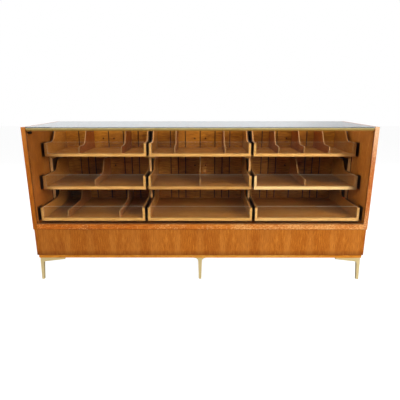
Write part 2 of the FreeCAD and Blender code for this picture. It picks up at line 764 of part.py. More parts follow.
def make_drawer(row, column):
    """One drawer: its tray, glass lip, back board with handle, and dividers."""
    level, next_level, setback, head_room = ROWS[row]
    middle = COLUMNS[column]
    key = f"{row}_{column}"
    name = f"drawer_{key}"
    y = front_y + setback
    z = level + mm.runner_height + mm.runner_clearance
    length = mm.cabinet_depth - setback
    side_length = length - mm.back_thickness
    left = middle - drawer_width / 2
    inside = left + mm.drawer_side_thickness
    inside_width = drawer_width - 2 * mm.drawer_side_thickness

    rise_start = length - mm.rise_from_back
    high = next_level - head_room - z
    low = high - mm.rise_height
    side_size = (mm.drawer_side_thickness, side_length, low, high, rise_start)
    right = inside + inside_width
    floor_z = z + mm.drawer_floor_height
    floor_y = y + mm.drawer_rail_depth
    floor_size = (inside_width, side_length - mm.drawer_rail_depth, mm.drawer_floor_thickness)
    rail_size = (inside_width, mm.drawer_rail_depth, mm.drawer_rail_height)
    groove_y = y + mm.lip_setback - mm.lip_groove_clearance
    groove_z = z + mm.drawer_rail_height - mm.lip_groove_depth
    groove_width = mm.lip_thickness + 2 * mm.lip_groove_clearance
    groove_size = (inside_width, groove_width, mm.lip_groove_depth)
    rail = board(f"{key}_rail_blank", inside, y, z, *rail_size)
    groove = board(f"{key}_rail_groove", inside, groove_y, groove_z, *groove_size)
    tray = [
        stepped_board(f"{key}_side_left", *side_size, left, y, z),
        stepped_board(f"{key}_side_right", *side_size, right, y, z),
        board(f"{key}_floor", inside, floor_y, floor_z, *floor_size),
        cut(f"{key}_rail", rail, [groove]),
    ]
    as_node(group(f"{key}_tray", tray), f"{name}_box")

    lip_x = inside + mm.lip_end_clearance
    lip_width = inside_width - 2 * mm.lip_end_clearance
    lip_size = (lip_width, mm.lip_thickness, z + low + mm.lip_stand - groove_z)
    lip = board(f"{key}_lip", lip_x, y + mm.lip_setback, groove_z, *lip_size)
    as_node(lip, f"{name}_glass")

    back_y_front = back_y - mm.back_thickness
    back_z = level + mm.back_gap / 2
    back_height = next_level - level - mm.back_gap
    back_size = (drawer_width, mm.back_thickness, back_height)
    blank = board(f"{key}_back_blank", left, back_y_front, back_z, *back_size)
    slot_size = (mm.back_groove_width, mm.back_groove_depth, back_height)
    cuts = []
    for index, share in enumerate(SLOT_SHARES):
        x = middle + share * drawer_width - mm.back_groove_width / 2
        cuts.append(board(f"{key}_slot_{index}", x, back_y_front, back_z, *slot_size))
    screw_z = z + mm.handle_screw_height
    hole_radius = mm.handle_screw_radius + mm.screw_hole_clearance
    screws = []
    for index, side in enumerate((-1, 1)):
        x = middle + side * mm.handle_screw_spacing / 2
        hole_size = (hole_radius, mm.back_thickness)
        cuts.append(rod(f"{key}_hole_{index}", x, back_y_front, screw_z, *hole_size, "y"))
        head_size = (mm.handle_head_radius, mm.handle_head_height)
        head_y = back_y_front - mm.handle_head_height
        head = rod(f"{key}_screw_head_{index}", x, head_y, screw_z, *head_size, "y")
        shank_size = (mm.handle_screw_radius, mm.back_thickness + mm.handle_screw_bite)
        shank = rod(f"{key}_shank_{index}", x, back_y_front, screw_z, *shank_size, "y")
        screw = doc.addObject("Part::Fuse", f"{key}_screw_{index}")
        screw.Base = head
        screw.Tool = shank
        screws.append(screw)
    as_node(cut(f"{key}_back", blank, cuts), f"{name}_back")

    cup_z = screw_z - (mm.cup_height - mm.cup_depth)
    cup = make_cup(f"{key}_cup", middle, cup_z)
    as_node(group(f"{key}_handle", [cup, *screws]), f"{name}_handle")

    floor_top = mm.drawer_floor_height + mm.drawer_floor_thickness
    divider_y = y + mm.drawer_rail_depth
    slot_reach = mm.back_groove_depth - mm.divider_end_gap
    divider_length = side_length - mm.drawer_rail_depth + slot_reach
    heights = (divider_low_share * (low - floor_top), high - floor_top)
    divider_rise = rise_start - mm.drawer_rail_depth
    divider_size = (mm.divider_thickness, divider_length, *heights, divider_rise)
    dividers = []
    for index, share in enumerate(DIVIDER_SHARES[key]):
        x = middle + share * drawer_width - mm.divider_thickness / 2
        spot = (x, divider_y, z + floor_top)
        dividers.append(stepped_board(f"{key}_divider_{index}", *divider_size, *spot))
    if dividers:
        as_node(group(f"{key}_divider_set", dividers), f"{name}_dividers")


def check_model():
    """Stops if any object failed to build or any piece is empty or not sound."""
    for item in doc.Objects:
        if "Invalid" in item.State or "Error" in item.State:
            raise RuntimeError(f"{item.Name} failed: {item.State}")
    for item in nodes:
        if item.Shape.isNull() or not item.Shape.isValid() or not item.Shape.Solids:
            raise RuntimeError(f"{item.Label} has no sound shape")


make_case()
make_runners()
make_glass()
make_plinth()
make_legs_and_sub_base()
for row_name in ROWS:
    for column_name in COLUMNS:
        make_drawer(row_name, column_name)
doc.recompute()
check_model()

os.makedirs("parts", exist_ok=True)
for node in nodes:
    node.Shape.exportStep(os.path.join("parts", node.Label + ".step"))
print(f"{len(nodes)} pieces written")
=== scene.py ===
"""Dresses the shop counter display cabinet: oak, plywood, glass, brass and satin gold legs."""
import math

import bmesh
import bpy
from mathutils import Euler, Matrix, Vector


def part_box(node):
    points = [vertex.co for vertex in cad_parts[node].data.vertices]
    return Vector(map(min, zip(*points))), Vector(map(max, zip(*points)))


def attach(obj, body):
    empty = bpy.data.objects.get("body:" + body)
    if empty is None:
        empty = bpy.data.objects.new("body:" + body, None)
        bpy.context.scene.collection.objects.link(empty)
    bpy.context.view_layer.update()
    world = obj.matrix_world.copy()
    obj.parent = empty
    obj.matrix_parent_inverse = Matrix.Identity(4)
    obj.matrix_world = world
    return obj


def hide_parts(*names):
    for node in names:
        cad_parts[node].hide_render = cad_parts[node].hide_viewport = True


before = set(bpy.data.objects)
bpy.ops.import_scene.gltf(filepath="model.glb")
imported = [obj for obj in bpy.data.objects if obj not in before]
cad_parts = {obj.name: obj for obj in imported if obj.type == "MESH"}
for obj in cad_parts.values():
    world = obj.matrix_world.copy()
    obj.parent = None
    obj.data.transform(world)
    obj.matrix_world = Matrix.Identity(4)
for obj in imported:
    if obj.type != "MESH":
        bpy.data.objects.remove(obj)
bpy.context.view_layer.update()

MM = 0.001
ROWS = ("bottom", "middle", "top")
COLUMNS = ("left", "centre", "right")
DRAWERS = [(row, column) for row in ROWS for column in COLUMNS]

# Sizes on the part that the finishes follow.
TRAY_SIDE = 13 * MM
TRAY_FLOOR_TOP = 15 * MM
SCREW_OFFSET = 34 * MM
BACK_GROOVE = 5.5 * MM
PLY_LAYER = 1.2 * MM
VENEER_LEAF = 0.305

# How far the painted shade at a joint reaches, and how near the joint it is at its darkest.
JOINT_SHADE_REACH = 4 * MM
JOINT_SHADE_LINE = 1 * MM

# Heights on the end panels: the front edges grow paler going up, and the painted shade and light on
# the inner faces change going down.
EDGE_PALER_HEIGHTS = (0.62, 0.86)
INNER_SHADE_HEIGHTS = (0.70, 0.42)

# The depth of the unevenness in varnished wood and in brushed metal.
WOOD_RELIEF = 0.5 * MM
METAL_RELIEF = 0.2 * MM

# A pane's faces are those whose normal lies this close to its thickness.
FLAT = 0.98

# The camera: its place, its turns about X, Y and Z in degrees, its lens and its sensor in mm.
CAMERA_PLACE = (0.0066, -2.1717, 0.9974)
CAMERA_TURNS = (90.0 - 15.33, 0.04, 0.18)
CAMERA_LENS = 33.27
CAMERA_SENSOR = 36.0

# The surround: its light on what it falls on, and its wall and dim room in reflections.
AMBIENT = 0.10
MIRRORED_WALL = 0.88
MIRRORED_ROOM = 0.06

# The floor: how far it reaches, and its own glow that keeps it white.
FLOOR_REACH = 12.0
FLOOR_GLOW = 0.93

# Each lamp: name, place, target, size, watts, and whether it shows through clear glass.
LAMPS = (
    ("front_softbox", (0.3, -3.2, 2.2), (0, 0, 0.55), (5.6, 1.2), 54, False),
    ("back_softbox", (0.0, 3.4, 1.3), (0, 0, 0.45), (4.0, 1.4), 90, False),
    ("left_softbox", (-3.0, -2.7, 1.7), (0, 0, 0.45), (1.0, 1.4), 48, True),
    ("right_softbox", (2.7, -2.7, 1.7), (0.4, 0, 0.35), (1.0, 1.4), 96, True),
    ("overhead", (0.0, -0.5, 3.0), (0, 0, 0.4), (2.6, 1.2), 38, True),
)


# Colours

def srgb(red, green, blue):
    """A colour as seen on a screen, 0 to 255, as the linear colour that a shader takes."""
    linear = []
    for value in (red, green, blue):
        share = value / 255
        linear.append(share / 12.92 if share <= 0.04045 else ((share + 0.055) / 1.055) ** 2.4)
    return (*linear, 1.0)


# Each wood's dark, middle and light tone.
PANEL_OAK = (srgb(146, 78, 26), srgb(186, 108, 42), srgb(214, 140, 70))
INSIDE_OAK = (srgb(112, 62, 22), srgb(146, 84, 34), srgb(166, 102, 48))
RAIL_OAK = (srgb(168, 80, 22), srgb(210, 114, 34), srgb(232, 146, 58))
PLINTH_OAK = (srgb(150, 74, 16), srgb(192, 106, 30), srgb(220, 140, 52))
SUB_BASE_OAK = (srgb(212, 122, 30), srgb(240, 154, 52), srgb(252, 184, 84))
BACK_OAK = (srgb(124, 72, 18), srgb(176, 112, 37), srgb(202, 138, 56))
RUNNER_WOOD = (srgb(150, 100, 46), srgb(184, 132, 70), srgb(206, 156, 92))
UPRIGHT_OAK = (srgb(176, 116, 62), srgb(214, 154, 94), srgb(236, 180, 120))
PLY_WOOD = (srgb(106, 54, 19), srgb(142, 80, 33), srgb(164, 100, 48))

# Each row of trays: its wood, how far in from the end panels their painted shadow reaches on its
# rail, how much painted light brightens its right-hand rail, and how much painted shade darkens its
# centre rail.
TRAYS = {
    "bottom": ((srgb(130, 75, 27), srgb(171, 105, 42), srgb(198, 131, 62)), 45 * MM, 0.15, 0.0),
    "middle": ((srgb(125, 71, 24), srgb(165, 99, 38), srgb(191, 124, 56)), 95 * MM, 0.6, 0.3),
    "top": ((srgb(120, 66, 19), srgb(158, 93, 30), srgb(184, 116, 44)), 125 * MM, 0.0, 0.0),
}

# Each end panel: its front edge's dark, light, flecked and paler tones, the upper and lower
# tints of its inner face, which are painted shade and light, and how thickly its front edge is
# flecked.
PANELS = {
    "left": (
        (srgb(162, 82, 16), srgb(192, 108, 28), srgb(212, 140, 58), srgb(208, 128, 52)),
        (0.54, 0.47, 0.30, 1.0), (0.86, 0.74, 0.58, 1.0), 0.35,
    ),
    # The right panel's pale front edge tones are painted glare, a painted highlight, and its lighter
    # inner tints are painted light.
    "right": (
        (srgb(176, 86, 34), srgb(210, 124, 58), srgb(244, 192, 132), srgb(250, 208, 168)),
        (0.98, 0.94, 0.78, 1.0), (0.98, 0.94, 0.78, 1.0), 0.82,
    ),
}

# The tints of the back boards' inner faces, the lower rows' one a painted bluish haze of
# reflections, and the painted shade on the dividers in the top row.
LOWER_BACK_HAZE = (1.0, 0.95, 1.25, 1.0)
TOP_BACK_TINT = (1.08, 0.97, 0.65, 1.0)
TOP_PLY_SHADE = (0.85, 0.6, 0.35, 1.0)

# The painted shade on the plinth.
PLINTH_SHADE = srgb(104, 50, 20)


# Node helpers

def set_inputs(tree, node, inputs):
    """Links the sockets among the inputs and sets the plain values."""
    for name, value in inputs.items():
        socket = node.inputs[name]
        if isinstance(value, bpy.types.NodeSocket):
            tree.links.new(value, socket)
        else:
            socket.default_value = value


def add(tree, kind, inputs=None, **settings):
    """A node of one kind, with its settings and inputs."""
    node = tree.nodes.new(kind)
    for name, value in settings.items():
        setattr(node, name, value)
    set_inputs(tree, node, inputs or {})
    return node


def find(tree, kind):
    """The first node of one type in a tree."""
    return next(node for node in tree.nodes if node.type == kind)


def maths(tree, operation, first, second=0.0, clamp=False):
    """The result of one sum."""
    inputs = {0: first, 1: second}
    return add(tree, "ShaderNodeMath", inputs, operation=operation, use_clamp=clamp).outputs[0]


def product(tree, first, *others):
    """All the values multiplied together."""
    for other in others:
        first = maths(tree, "MULTIPLY", first, other)
    return first


def between(tree, value, low, high):
    """0 at low and past it, 1 at high and past it, and smooth between. Low may be the larger."""
    inputs = {"Value": value, "From Min": low, "From Max": high}
    node = add(tree, "ShaderNodeMapRange", inputs, interpolation_type="SMOOTHSTEP")
    return node.outputs["Result"]


def scaled(tree, value, low, high):
    """A value of 0 to 1 brought to the range from low to high."""
    inputs = {"Value": value, "To Min": low, "To Max": high}
    return add(tree, "ShaderNodeMapRange", inputs).outputs["Result"]


def parts(tree, vector):
    """A vector's X, Y and Z."""
    return tuple(add(tree, "ShaderNodeSeparateXYZ", {0: vector}).outputs)


def mix_value(tree, factor, first, second):
    """One value or the other, by a factor."""
    return add(tree, "ShaderNodeMix", {0: factor, 2: first, 3: second}).outputs[0]


def mix_colour(tree, factor, first, second, blend="MIX"):
    """One colour mixed over another."""
    node = add(tree, "ShaderNodeMix", data_type="RGBA", blend_type=blend)
    set_inputs(tree, node, {0: factor, 6: first, 7: second})
    return node.outputs[2]


def mix_vector(tree, factor, first, second):
    """One vector or the other, by a factor."""
    node = add(tree, "ShaderNodeMix", data_type="VECTOR")
    set_inputs(tree, node, {0: factor, 4: first, 5: second})
    return node.outputs[1]


def mix_shader(tree, factor, first, second):
    """One surface or the other, by a factor."""
    inputs = {0: factor, 1: first.outputs[0], 2: second.outputs[0]}
    return add(tree, "ShaderNodeMixShader", inputs)


def ramp(tree, value, stops):
    """A colour ramp through (position, colour) stops."""
    node = add(tree, "ShaderNodeValToRGB", {"Fac": value})
    elements = node.color_ramp.elements
    while len(elements) < len(stops):
        elements.new(0.5)
    for element, (position, colour) in zip(elements, stops):
        element.position = position
        element.color = colour
    return node.outputs["Color"]


def noise(tree, vector, scale, detail, roughness=0.5, distortion=0.0, turn=0.0):
    """Noise at its own scale along each axis, turned about the vector's Z."""
    mapped = add(tree, "ShaderNodeMapping", {
        "Vector": vector, "Scale": scale, "Rotation": (0, 0, turn),
    })
    texture = add(tree, "ShaderNodeTexNoise", {
        "Vector": mapped.outputs[0], "Scale": 1.0, "Detail": detail, "Roughness": roughness,
        "Distortion": distortion,
    })
    return texture.outputs["Fac"]


def spread(tree, value, amount):
    """A noise value centred on zero and scaled."""
    return product(tree, maths(tree, "SUBTRACT", value, 0.5), amount)


def new_group(name, inputs, outputs):
    """A shader group with its sockets, as (kind, name, value) and (kind, name)."""
    tree = bpy.data.node_groups.new(name, "ShaderNodeTree")
    for kind, label, value in inputs:
        socket = tree.interface.new_socket(label, in_out="INPUT", socket_type="NodeSocket" + kind)
        if value is not None:
            socket.default_value = value
    for kind, label in outputs:
        tree.interface.new_socket(label, in_out="OUTPUT", socket_type="NodeSocket" + kind)
    return tree, tree.nodes.new("NodeGroupInput"), tree.nodes.new("NodeGroupOutput")


def use_group(tree, group, inputs):
    """Places a group in a material."""
    node = tree.nodes.new("ShaderNodeGroup")
    node.node_tree = group
    set_inputs(tree, node, inputs)
    return node


# Shared effects

def make_grain_group():
    """Wood grain in metres, with X along the fibres: a tone, its pores and a height."""
    tree, start, end = new_group(
        "Wood grain",
        [("Vector", "Vector", None), ("Float", "Bands", 1.0), ("Float", "Mottle", 1.0),
         ("Float", "Streaks", 1.0)],
        [("Float", "Tone"), ("Float", "Pores"), ("Float", "Height")],
    )
    place = start.outputs["Vector"]
    rings = product(tree, noise(tree, place, (1.08, 9.0, 9.0), 2.0, 0.4, 0.2), 12.0)
    bands = product(tree, maths(tree, "SINE", rings), 0.25, start.outputs["Bands"])
    blotches = noise(tree, place, (26.0, 120.0, 120.0), 2.0, 0.55, 0.4)
    mottle = product(tree, spread(tree, blotches, 1.6), start.outputs["Mottle"])
    fine = noise(tree, place, (22.0, 420.0, 420.0), 4.0, 0.55)
    streaks = product(tree, spread(tree, fine, 1.6), start.outputs["Streaks"])
    specks = noise(tree, place, (130.0, 1500.0, 1500.0), 1.0, 0.55)
    pores = between(tree, specks, 0.58, 0.70)
    tone = maths(tree, "ADD", maths(tree, "ADD", bands, mottle), streaks)
    tone = maths(tree, "ADD", tone, 0.5)
    height = maths(tree, "SUBTRACT", product(tree, fine, 0.6), pores)
    set_inputs(tree, end, {"Tone": tone, "Pores": pores, "Height": height})
    return tree


def make_fleck_group():
    """The pale flecks of quarter-cut oak: short patches that lie along the board."""
    tree, start, end = new_group(
        "Oak flecks", [("Vector", "Vector", None), ("Float", "Amount", 0.5)], [("Float", "Mask")]
    )
    place = start.outputs["Vector"]
    patches = noise(tree, place, (110.0, 250.0, 250.0), 2.0, 0.6, 0.2, turn=0.25)
    drift = noise(tree, place, (7.0, 7.0, 7.0), 2.0)
    crowd = maths(tree, "ADD", product(tree, drift, 0.4), 0.3)
    edge = maths(tree, "SUBTRACT", 0.92, product(tree, crowd, start.outputs["Amount"]))
    mask = maths(tree, "SUBTRACT", patches, edge)
    mask = maths(tree, "MULTIPLY", mask, 6.0, clamp=True)
    set_inputs(tree, end, {"Mask": mask})
    return tree


def make_handling_group():
    """The uneven sheen that years of hands and cloths leave: a mask and a faint unevenness."""
    tree, start, end = new_group(
        "Handling marks", [("Vector", "Vector", None), ("Float", "Size", 6.0)],
        [("Float", "Mask"), ("Float", "Scuffs")],
    )
    place = start.outputs["Vector"]
    clouds = add(tree, "ShaderNodeTexNoise", {
        "Vector": place, "Scale": start.outputs["Size"], "Detail": 4.0, "Roughness": 0.6,
    })
    rubs = noise(tree, place, (95.0, 95.0, 95.0), 3.0, distortion=1.2)
    set_inputs(tree, end, {
        "Mask": between(tree, clouds.outputs["Fac"], 0.35, 0.70),
        "Scuffs": between(tree, rubs, 0.60, 0.78),
    })
    return tree


GRAIN = make_grain_group()
FLECKS = make_fleck_group()
HANDLING = make_handling_group()


# Materials

def new_material(name):
    """A material with only its shader and output."""
    material = bpy.data.materials.new(name)
    material.use_nodes = True
    tree = material.node_tree
    tree.nodes.clear()
    shader = tree.nodes.new("ShaderNodeBsdfPrincipled")
    output = tree.nodes.new("ShaderNodeOutputMaterial")
    tree.links.new(shader.outputs[0], output.inputs["Surface"])
    return material, tree, shader


def own_place(tree):
    """Each point's place on its own object, and the way that the surface faces there."""
    coordinates = tree.nodes.new("ShaderNodeTexCoord")
    return coordinates.outputs["Object"], coordinates.outputs["Normal"]


def facing(tree, normal, axis, limit=0.5):
    """1 where the surface faces along the axis, either way."""
    return maths(tree, "GREATER_THAN", maths(tree, "ABSOLUTE", parts(tree, normal)[axis]), limit)


def bare_colour(material):
    """A material's tree, and the colour that its shader takes so far."""
    tree = material.node_tree
    return tree, find(tree, "BSDF_PRINCIPLED").inputs["Base Color"].links[0].from_socket


def repaint(material, colour):
    """Gives a material's shader another colour, and returns the material."""
    tree = material.node_tree
    set_inputs(tree, find(tree, "BSDF_PRINCIPLED"), {"Base Color": colour})
    return material


def show(tree, surface):
    """Puts another surface in place of the material's own shader."""
    tree.links.new(surface.outputs[0], find(tree, "OUTPUT_MATERIAL").inputs["Surface"])


def grain_place(tree, place, along):
    """The object's own place turned so that X runs along the fibres."""
    order = {"x": (0, 1, 2), "y": (1, 0, 2), "z": (2, 0, 1)}[along]
    split = parts(tree, place)
    inputs = {index: split[axis] for index, axis in enumerate(order)}
    return add(tree, "ShaderNodeCombineXYZ", inputs).outputs[0]


def finish_wood(tree, shader, vector, place, colours, bands=0.5, mottle=0.6, streaks=0.5,
                pores=0.35, cloud_depth=0.3, roughness=0.36, coat=0.35):
    """Joins grain, pores, handling and varnish into the wood's shader, and gives its colour."""
    grain = use_group(tree, GRAIN, {
        "Vector": vector, "Bands": bands, "Mottle": mottle, "Streaks": streaks,
    })
    handling = use_group(tree, HANDLING, {"Vector": place, "Size": 5.0})
    dark, middle, light = colours
    colour = ramp(tree, grain.outputs["Tone"], [(0.15, dark), (0.5, middle), (0.85, light)])
    colour = mix_colour(tree, product(tree, grain.outputs["Pores"], pores), colour, dark)
    clouds = product(tree, handling.outputs["Mask"], cloud_depth)
    colour = mix_colour(tree, clouds, colour, dark)
    sheen = scaled(tree, handling.outputs["Mask"], roughness - 0.05, roughness + 0.10)
    scuffed = product(tree, handling.outputs["Scuffs"], 0.12)
    bump = add(tree, "ShaderNodeBump", {
        "Strength": 0.12, "Distance": WOOD_RELIEF, "Height": grain.outputs["Height"],
    })
    set_inputs(tree, shader, {
        "Roughness": maths(tree, "ADD", sheen, scuffed, clamp=True), "Normal": bump.outputs[0],
    })
    shader.inputs["Coat Weight"].default_value = coat
    shader.inputs["Coat Roughness"].default_value = 0.14
    shader.inputs["Specular IOR Level"].default_value = 0.35
    return colour


def make_oak(name, along, colours, **look):
    """Varnished oak with its grain along one axis."""
    material, tree, shader = new_material(name)
    place, _ = own_place(tree)
    vector = grain_place(tree, place, along)
    colour = finish_wood(tree, shader, vector, place, colours, **look)
    set_inputs(tree, shader, {"Base Color": colour})
    return material


def make_plinth_veneer():
    """Book-matched leaves of veneer, each the mirror of the next, with painted shade towards the
    left, at the foot and under the rail's joint.
    """
    low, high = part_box("plinth_front")
    foot_shade_reach = 34 * MM
    material, tree, shader = new_material("plinth_veneer")
    place, _ = own_place(tree)
    x, y, z = parts(tree, place)
    folded = maths(tree, "PINGPONG", x, VENEER_LEAF)
    vector = add(tree, "ShaderNodeCombineXYZ", {0: z, 1: folded, 2: y}).outputs[0]
    wood = finish_wood(tree, shader, vector, place, PLINTH_OAK, bands=0.15, mottle=0.45,
                       streaks=1.1, pores=0.8, cloud_depth=0.25)
    stripe = between(tree, noise(tree, vector, (0.8, 14.0, 1.0), 2.0), 0.42, 0.66)
    wood = mix_colour(tree, product(tree, stripe, 0.45), wood, srgb(226, 146, 62))
    # Painted shade towards the left end.
    aside = product(tree, between(tree, x, -0.15, -0.75), 0.22)
    wood = mix_colour(tree, aside, wood, PLINTH_SHADE)
    # Painted shade at the foot and under the rail's overhang.
    foot_shade = between(tree, z, low.z + foot_shade_reach, low.z)
    joint_shade = between(tree, z, high.z - JOINT_SHADE_REACH, high.z - JOINT_SHADE_LINE)
    painted_shade = product(tree, maths(tree, "MAXIMUM", foot_shade, joint_shade), 0.5)
    set_inputs(tree, shader, {"Base Color": mix_colour(tree, painted_shade, wood, PLINTH_SHADE)})
    return material


def tray_shade(tree, y, z, row):
    """Where an end panel lies in the shade beside the front of one row's tray."""
    low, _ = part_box(f"drawer_{row}_left_box")
    side_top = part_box(f"drawer_{row}_left_glass")[1].z
    return product(
        tree,
        between(tree, y, low.y + 7 * MM, low.y + 15 * MM),
        between(tree, y, low.y + 90 * MM, low.y + 45 * MM),
        between(tree, z, low.z - 8 * MM, low.z),
        between(tree, z, side_top, side_top - 10 * MM),
    )


def make_panel(side):
    """An end panel: varnished faces, a paler flecked front edge, and an inner face toned by painted
    shade and light, with painted shadow beside the trays and along the front glass.
    """
    edge, upper_inner_shade, lower_inner_shade, edge_flecks = PANELS[side]
    panel_low, panel_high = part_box("end_panel_right")
    glass_low, glass_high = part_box("glass_front")
    material = make_oak(f"oak_panel_{side}", "z", PANEL_OAK, coat=0.9, mottle=0.5, bands=0.3,
                        cloud_depth=0.15)
    tree, wood = bare_colour(material)
    place, normal = own_place(tree)
    vector = grain_place(tree, place, "z")
    x, y, z = parts(tree, place)
    flecks = use_group(tree, FLECKS, {"Vector": vector, "Amount": 0.42}).outputs["Mask"]
    wood = mix_colour(tree, product(tree, flecks, 0.25), wood, srgb(226, 160, 96))

    # The inner face: painted shade and light that change with height, and painted shadow beside each
    # tray's front.
    middle = (panel_low.x + panel_high.x) / 2
    within = maths(tree, "LESS_THAN", maths(tree, "ABSOLUTE", x), middle)
    inward = product(tree, facing(tree, normal, 0), within)
    tint = mix_colour(tree, between(tree, z, *INNER_SHADE_HEIGHTS), upper_inner_shade, lower_inner_shade)
    deep = mix_colour(tree, 1.0, wood, tint, "MULTIPLY")
    for row in ROWS:
        deep = mix_colour(tree, tray_shade(tree, y, z, row), deep, srgb(20, 6, 4))
    colour = mix_colour(tree, inward, wood, deep)

    # The front edge.
    marks = use_group(tree, FLECKS, {"Vector": vector, "Amount": edge_flecks})
    grain = use_group(tree, GRAIN, {"Vector": vector, "Bands": 0.2, "Mottle": 0.9, "Streaks": 1.0})
    edge_wood = ramp(tree, grain.outputs["Tone"], [(0.2, edge[0]), (0.8, edge[1])])
    edge_wood = mix_colour(tree, marks.outputs["Mask"], edge_wood, edge[2])
    paler_part = product(tree, between(tree, z, *EDGE_PALER_HEIGHTS), 0.6)
    edge_wood = mix_colour(tree, paler_part, edge_wood, edge[3])
    colour = mix_colour(tree, facing(tree, normal, 1, 0.9), colour, edge_wood)

    # Painted shade in the seam along the front glass.
    seam_start = maths(tree, "GREATER_THAN", y, glass_low.y)
    seam_end = maths(tree, "LESS_THAN", y, glass_high.y)
    seam_shade = product(tree, seam_start, seam_end, inward)
    return repaint(material, mix_colour(tree, seam_shade, colour, srgb(78, 40, 18)))


def make_tray_wood(row, pitch):
    """A row's trays: grain along each board, painted shade on the sides' top edges and outsides, and
    a rail with painted light and shade.
    """
    low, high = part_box(f"drawer_{row}_centre_box")
    colours, panel_shadow_reach, right_light_amount, centre_shade_amount = TRAYS[row]
    clearance = (pitch - (high.x - low.x)) / 2
    arris = 2.5 * MM
    material, tree, shader = new_material(f"tray_wood_{row}")
    place, normal = own_place(tree)
    x, _, z = parts(tree, place)
    side_face = facing(tree, normal, 0)
    lengthwise = grain_place(tree, place, "x")
    vector = mix_vector(tree, side_face, lengthwise, grain_place(tree, place, "y"))
    colour = finish_wood(tree, shader, vector, place, colours, bands=0.35, mottle=0.35,
                         streaks=0.4, pores=0.2, cloud_depth=0.15)

    # The sides: painted shade on their top edges, with a painted highlight along the inner half, and
    # on their outer faces.
    across = maths(tree, "PINGPONG", maths(tree, "ADD", x, pitch / 2), pitch / 2)
    outer_shade = maths(tree, "LESS_THAN", across, clearance + 0.45 * TRAY_SIDE)
    on_side = maths(tree, "LESS_THAN", across, clearance + TRAY_SIDE)
    edge = mix_colour(tree, on_side, srgb(124, 76, 34), srgb(178, 118, 60))
    edge = mix_colour(tree, outer_shade, edge, srgb(40, 20, 12))
    above = maths(tree, "GREATER_THAN", z, low.z + TRAY_FLOOR_TOP)
    above = product(tree, above, maths(tree, "SUBTRACT", 1.0, side_face))
    colour = mix_colour(tree, above, colour, edge)
    colour = mix_colour(tree, product(tree, outer_shade, side_face), colour, srgb(44, 22, 12))

    # The front rail: painted light makes its front pale and the right-hand drawer's paler still;
    # painted shade darkens its lower arris, the centre drawer and its ends beside the end panels.
    streaks = noise(tree, lengthwise, (14.0, 260.0, 260.0), 3.0)
    pale = ramp(tree, streaks, [(0.30, srgb(198, 136, 66)), (0.70, srgb(226, 172, 102))])
    # Painted shade on the lower arris.
    pale = mix_colour(tree, maths(tree, "LESS_THAN", z, low.z + arris), pale, srgb(138, 84, 38))
    width = maths(tree, "ABSOLUTE", x)
    paler_part = product(tree, maths(tree, "GREATER_THAN", x, pitch / 2), right_light_amount)
    pale = mix_colour(tree, paler_part, pale, srgb(248, 208, 148))
    centre_shade = product(tree, maths(tree, "LESS_THAN", width, pitch / 2), centre_shade_amount)
    pale = mix_colour(tree, centre_shade, pale, srgb(142, 90, 30))
    # Painted shadow of the end panels on the rail's ends.
    inner_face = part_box("end_panel_right")[0].x
    painted_shade = product(tree, between(tree, width, inner_face - panel_shadow_reach, inner_face), 0.9)
    pale = mix_colour(tree, painted_shade, pale, srgb(104, 52, 12))
    front = facing(tree, normal, 1, 0.95)
    set_inputs(tree, shader, {"Base Color": mix_colour(tree, front, colour, pale)})
    return material


def make_upright_wood():
    """The boards between the drawers: pale front edges, and painted shade on their sides and along
    the end panels.
    """
    panel_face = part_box("end_panel_right")[0].x
    material = make_oak("oak_inside_upright", "z", UPRIGHT_OAK)
    tree, wood = bare_colour(material)
    place, normal = own_place(tree)
    width = maths(tree, "ABSOLUTE", parts(tree, place)[0])
    joint_shade = maths(tree, "GREATER_THAN", width, panel_face - JOINT_SHADE_REACH)
    # Painted shade on the sides and along the end panels.
    dark = maths(tree, "MAXIMUM", facing(tree, normal, 0), joint_shade)
    return repaint(material, mix_colour(tree, dark, wood, srgb(52, 28, 14)))


def make_rail_wood():
    """The front rail: many pale flecks, painted light towards the right, painted shade along its
    upper and lower edges, and a top face darkened by painted shade and dirt.
    """
    low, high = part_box("front_rail")
    upper_reach = 5 * MM
    material = make_oak("oak_rail", "x", RAIL_OAK, mottle=0.6, pores=0.5, cloud_depth=0.1)
    tree, wood = bare_colour(material)
    place, normal = own_place(tree)
    x, _, z = parts(tree, place)
    crowd = add(tree, "ShaderNodeMapRange", {
        "Value": x, "From Min": -0.5, "From Max": 0.7, "To Min": 0.70, "To Max": 0.98,
    })
    flecks = use_group(tree, FLECKS, {
        "Vector": grain_place(tree, place, "x"), "Amount": crowd.outputs["Result"],
    }).outputs["Mask"]
    # Painted light towards the right.
    pale = product(tree, between(tree, x, 0.0, 0.7), 0.15)
    wood = mix_colour(tree, pale, wood, srgb(244, 176, 106))
    wood = mix_colour(tree, product(tree, flecks, 0.85), wood, srgb(246, 184, 112))
    # Painted shade along the upper and lower edges.
    upper = between(tree, z, high.z - upper_reach, high.z - JOINT_SHADE_LINE)
    lower = between(tree, z, low.z + JOINT_SHADE_REACH, low.z)
    painted_shade = product(tree, maths(tree, "MAXIMUM", upper, lower), 0.5)
    colour = mix_colour(tree, painted_shade, wood, srgb(92, 44, 20))
    # Painted shade under the drawers, with some dirt, on the top face.
    top_face = facing(tree, normal, 2)
    return repaint(material, mix_colour(tree, top_face, colour, srgb(92, 58, 34)))


def screw_level(row, inner_face):
    """The height of a row's handle screws, whose ends stand proud of the back board inside."""
    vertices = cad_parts[f"drawer_{row}_centre_handle"].data.vertices
    ends = [vertex.co.z for vertex in vertices if vertex.co.y < inner_face]
    return (min(ends) + max(ends)) / 2


